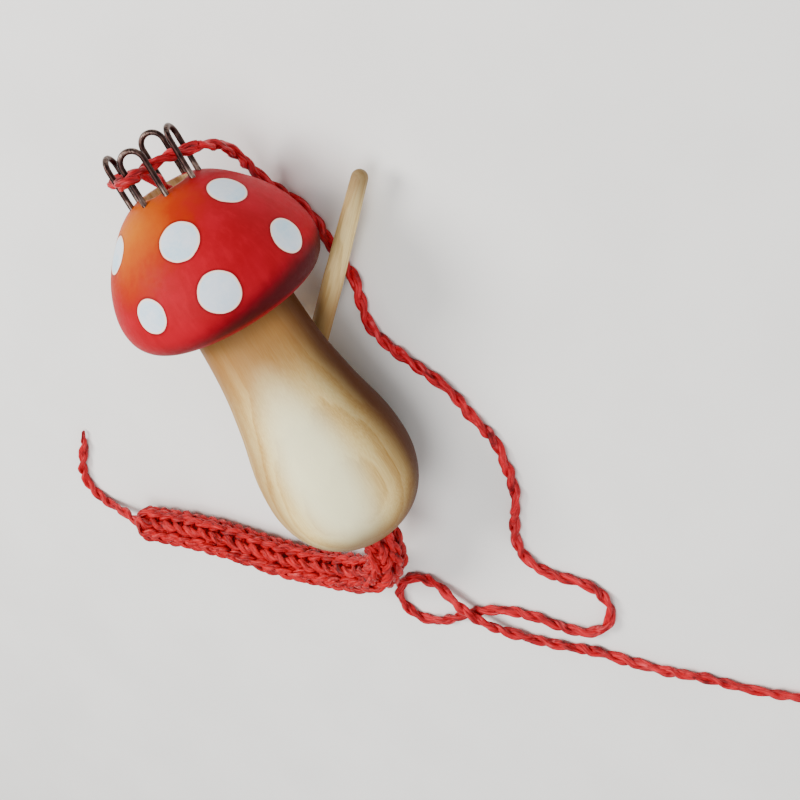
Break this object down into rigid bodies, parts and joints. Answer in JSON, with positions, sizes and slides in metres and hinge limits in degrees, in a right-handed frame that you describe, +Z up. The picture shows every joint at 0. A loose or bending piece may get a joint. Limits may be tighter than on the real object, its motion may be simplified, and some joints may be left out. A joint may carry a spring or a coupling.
{
  "type": "i-cord maker",
  "caption": "Turned toadstool knitting doll for i-cord: a bored cap and stem with wire staples round the bore, a wooden stylus, and the yarn and knitted cord on it.",
  "frame": {"origin": "on the surface that the toadstool lies on, under the middle of the box round its wood and wire pieces and the yarn and cord that they hold", "axes": "+Z up, +Y along the toadstool towards its crown, +X to the side that the working yarn goes to"},
  "size_m": [0.1888, 0.1492, 0.0379],
  "materials": {
    "cap_lacquer": "gloss red paint with white dots",
    "stem_wood": "satin, pale",
    "staple_wire": "darkened bronze",
    "stylus_wood": "satin, bare",
    "yarn": "plied, soft sheen",
    "knitting": "knit stitches, soft sheen"
  },
  "bodies": {
    "root": {"cap": "cap_lacquer", "stem": "stem_wood", "staple_front": "staple_wire", "staple_right": "staple_wire", "staple_back": "staple_wire", "staple_left": "staple_wire", "threaded_yarn": "yarn", "working_yarn": "yarn", "yarn_coil": "yarn", "coil_tie": "yarn", "cord_in_bore": "knitting", "knitted_cord": "knitting", "starting_tail": "yarn"},
    "stylus": {"stylus": "stylus_wood"}
  },
  "joints": [
    {"name": "stylus_slide", "type": "slide", "parent": "root", "child": "stylus", "axis": [0.7031, 0.709, 0.0545], "range_m": [0, 0.065]}
  ]
}
